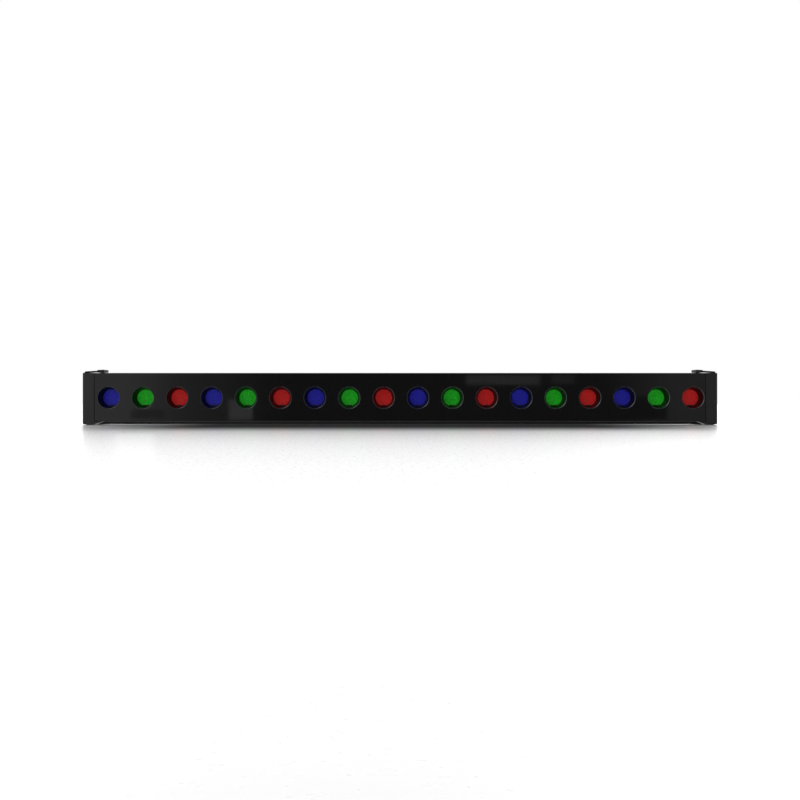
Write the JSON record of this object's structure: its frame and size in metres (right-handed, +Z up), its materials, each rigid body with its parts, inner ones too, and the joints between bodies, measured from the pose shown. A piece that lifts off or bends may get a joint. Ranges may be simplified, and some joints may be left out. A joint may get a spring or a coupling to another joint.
{
  "type": "led strip batten",
  "caption": "Long black LED light bar: gloss front panel with a row of round coloured lenses in hoods, swinging end brackets, rear data and power sockets, display and buttons.",
  "frame": {"origin": "middle of the bar's length and depth, on the surface its pads stand on", "axes": "+X along the bar to the right as seen from the front, +Y to the rear, +Z up"},
  "size_m": [1, 0.065, 0.0875],
  "materials": {
    "black_powder_coat": "satin black powder coat on aluminium",
    "gloss_black_acrylic": "gloss",
    "black_foam": "matte",
    "gloss_black_plastic": "gloss",
    "black_plastic": "fine matte",
    "blue_lens": "tinted, pebbled",
    "green_lens": "tinted, pebbled",
    "red_lens": "tinted, pebbled",
    "emitter_white": "clear silicone over phosphor",
    "white_board": "white solder mask",
    "white_plastic": "satin",
    "bright_steel": "zinc plated",
    "raw_aluminium": "mill finish",
    "cap_black": "satin black paint on cast aluminium",
    "black_rubber": "matte",
    "black_steel": "black oxide",
    "bracket_black": "satin black paint on steel",
    "nylon": "natural",
    "plate_black": "matte black paint on steel",
    "nickel": "satin nickel plate",
    "gold_contact": "gold flash",
    "fuse_glass": "clear",
    "smoked_pane": "smoked gloss",
    "display_black": "matte with pale segments",
    "green_board": "green solder mask",
    "component_dark": "mixed dark parts",
    "wire_blue": "PVC",
    "wire_red": "PVC",
    "ribbon_grey": "PVC",
    "button_black": "satin"
  },
  "bodies": {
    "bar": {"housing": "black_powder_coat", "front_panel": "gloss_black_acrylic", "panel_tape": "black_foam", "light_hoods": "gloss_black_plastic", "lens_holders": "black_plastic", "blue_lenses": "blue_lens", "green_lenses": "green_lens", "red_lenses": "red_lens", "led_emitters": "emitter_white", "led_board_left": "white_board", "led_board_middle": "white_board", "led_board_right": "white_board", "board_links": "white_plastic", "board_screws": "bright_steel", "heat_spreader": "raw_aluminium", "end_cap_left": "cap_black", "end_cap_right": "cap_black", "end_gaskets": "black_rubber", "end_cap_screws": "black_steel", "foot_pads": "black_rubber", "pivot_screws": "black_steel", "pivot_washers": "nylon", "connector_plate": "plate_black", "connector_plate_screws": "black_steel", "dmx_in_shell": "nickel", "dmx_in_insert": "black_plastic", "dmx_in_pins": "gold_contact", "dmx_out_shell": "nickel", "dmx_out_insert": "black_plastic", "dmx_out_contacts": "gold_contact", "socket_screws": "black_steel", "power_inlet_body": "black_plastic", "power_inlet_blades": "nickel", "display_window": "smoked_pane", "display_module": "display_black", "control_board": "green_board", "control_spacers": "bright_steel", "button_switches": "black_plastic", "power_supply_board": "green_board", "power_supply_parts": "component_dark", "driver_board": "green_board", "driver_parts": "component_dark", "board_spacers": "nylon", "mains_wires": "wire_blue", "supply_leads": "wire_red", "ribbon_cable": "ribbon_grey", "earth_lug": "bright_steel"},
    "bracket_left": {"bracket_left": "bracket_black", "bracket_sleeve_left": "black_rubber"},
    "bracket_right": {"bracket_right": "bracket_black", "bracket_sleeve_right": "black_rubber"},
    "dmx_latch": {"dmx_out_latch": "nickel"},
    "fuse_drawer": {"fuse_drawer": "black_plastic", "fuse": "fuse_glass"},
    "menu_button": {"menu_button": "button_black"},
    "down_button": {"down_button": "button_black"},
    "up_button": {"up_button": "button_black"},
    "enter_button": {"enter_button": "button_black"}
  },
  "joints": [
    {"name": "bracket_left_swing", "type": "hinge", "parent": "bar", "child": "bracket_left", "pos_m": [-0.4986, -0.0125, 0.041], "axis": [-1, 0, 0], "range_deg": [0, 90]},
    {"name": "bracket_right_swing", "type": "hinge", "parent": "bar", "child": "bracket_right", "pos_m": [0.4986, -0.0125, 0.041], "axis": [-1, 0, 0], "range_deg": [0, 90]},
    {"name": "dmx_latch_press", "type": "slide", "parent": "bar", "child": "dmx_latch", "axis": [0, -1, 0], "range_m": [0, 0.0008], "stiffness_N_per_m": 800, "springref_m": -0.0005},
    {"name": "fuse_drawer_slide", "type": "slide", "parent": "bar", "child": "fuse_drawer", "axis": [0, 1, 0], "range_m": [0, 0.016]},
    {"name": "menu_button_press", "type": "slide", "parent": "bar", "child": "menu_button", "axis": [0, -1, 0], "range_m": [0, 0.0005], "stiffness_N_per_m": 800, "springref_m": -0.0005},
    {"name": "down_button_press", "type": "slide", "parent": "bar", "child": "down_button", "axis": [0, -1, 0], "range_m": [0, 0.0005], "stiffness_N_per_m": 800, "springref_m": -0.0005},
    {"name": "up_button_press", "type": "slide", "parent": "bar", "child": "up_button", "axis": [0, -1, 0], "range_m": [0, 0.0005], "stiffness_N_per_m": 800, "springref_m": -0.0005},
    {"name": "enter_button_press", "type": "slide", "parent": "bar", "child": "enter_button", "axis": [0, -1, 0], "range_m": [0, 0.0005], "stiffness_N_per_m": 800, "springref_m": -0.0005}
  ]
}
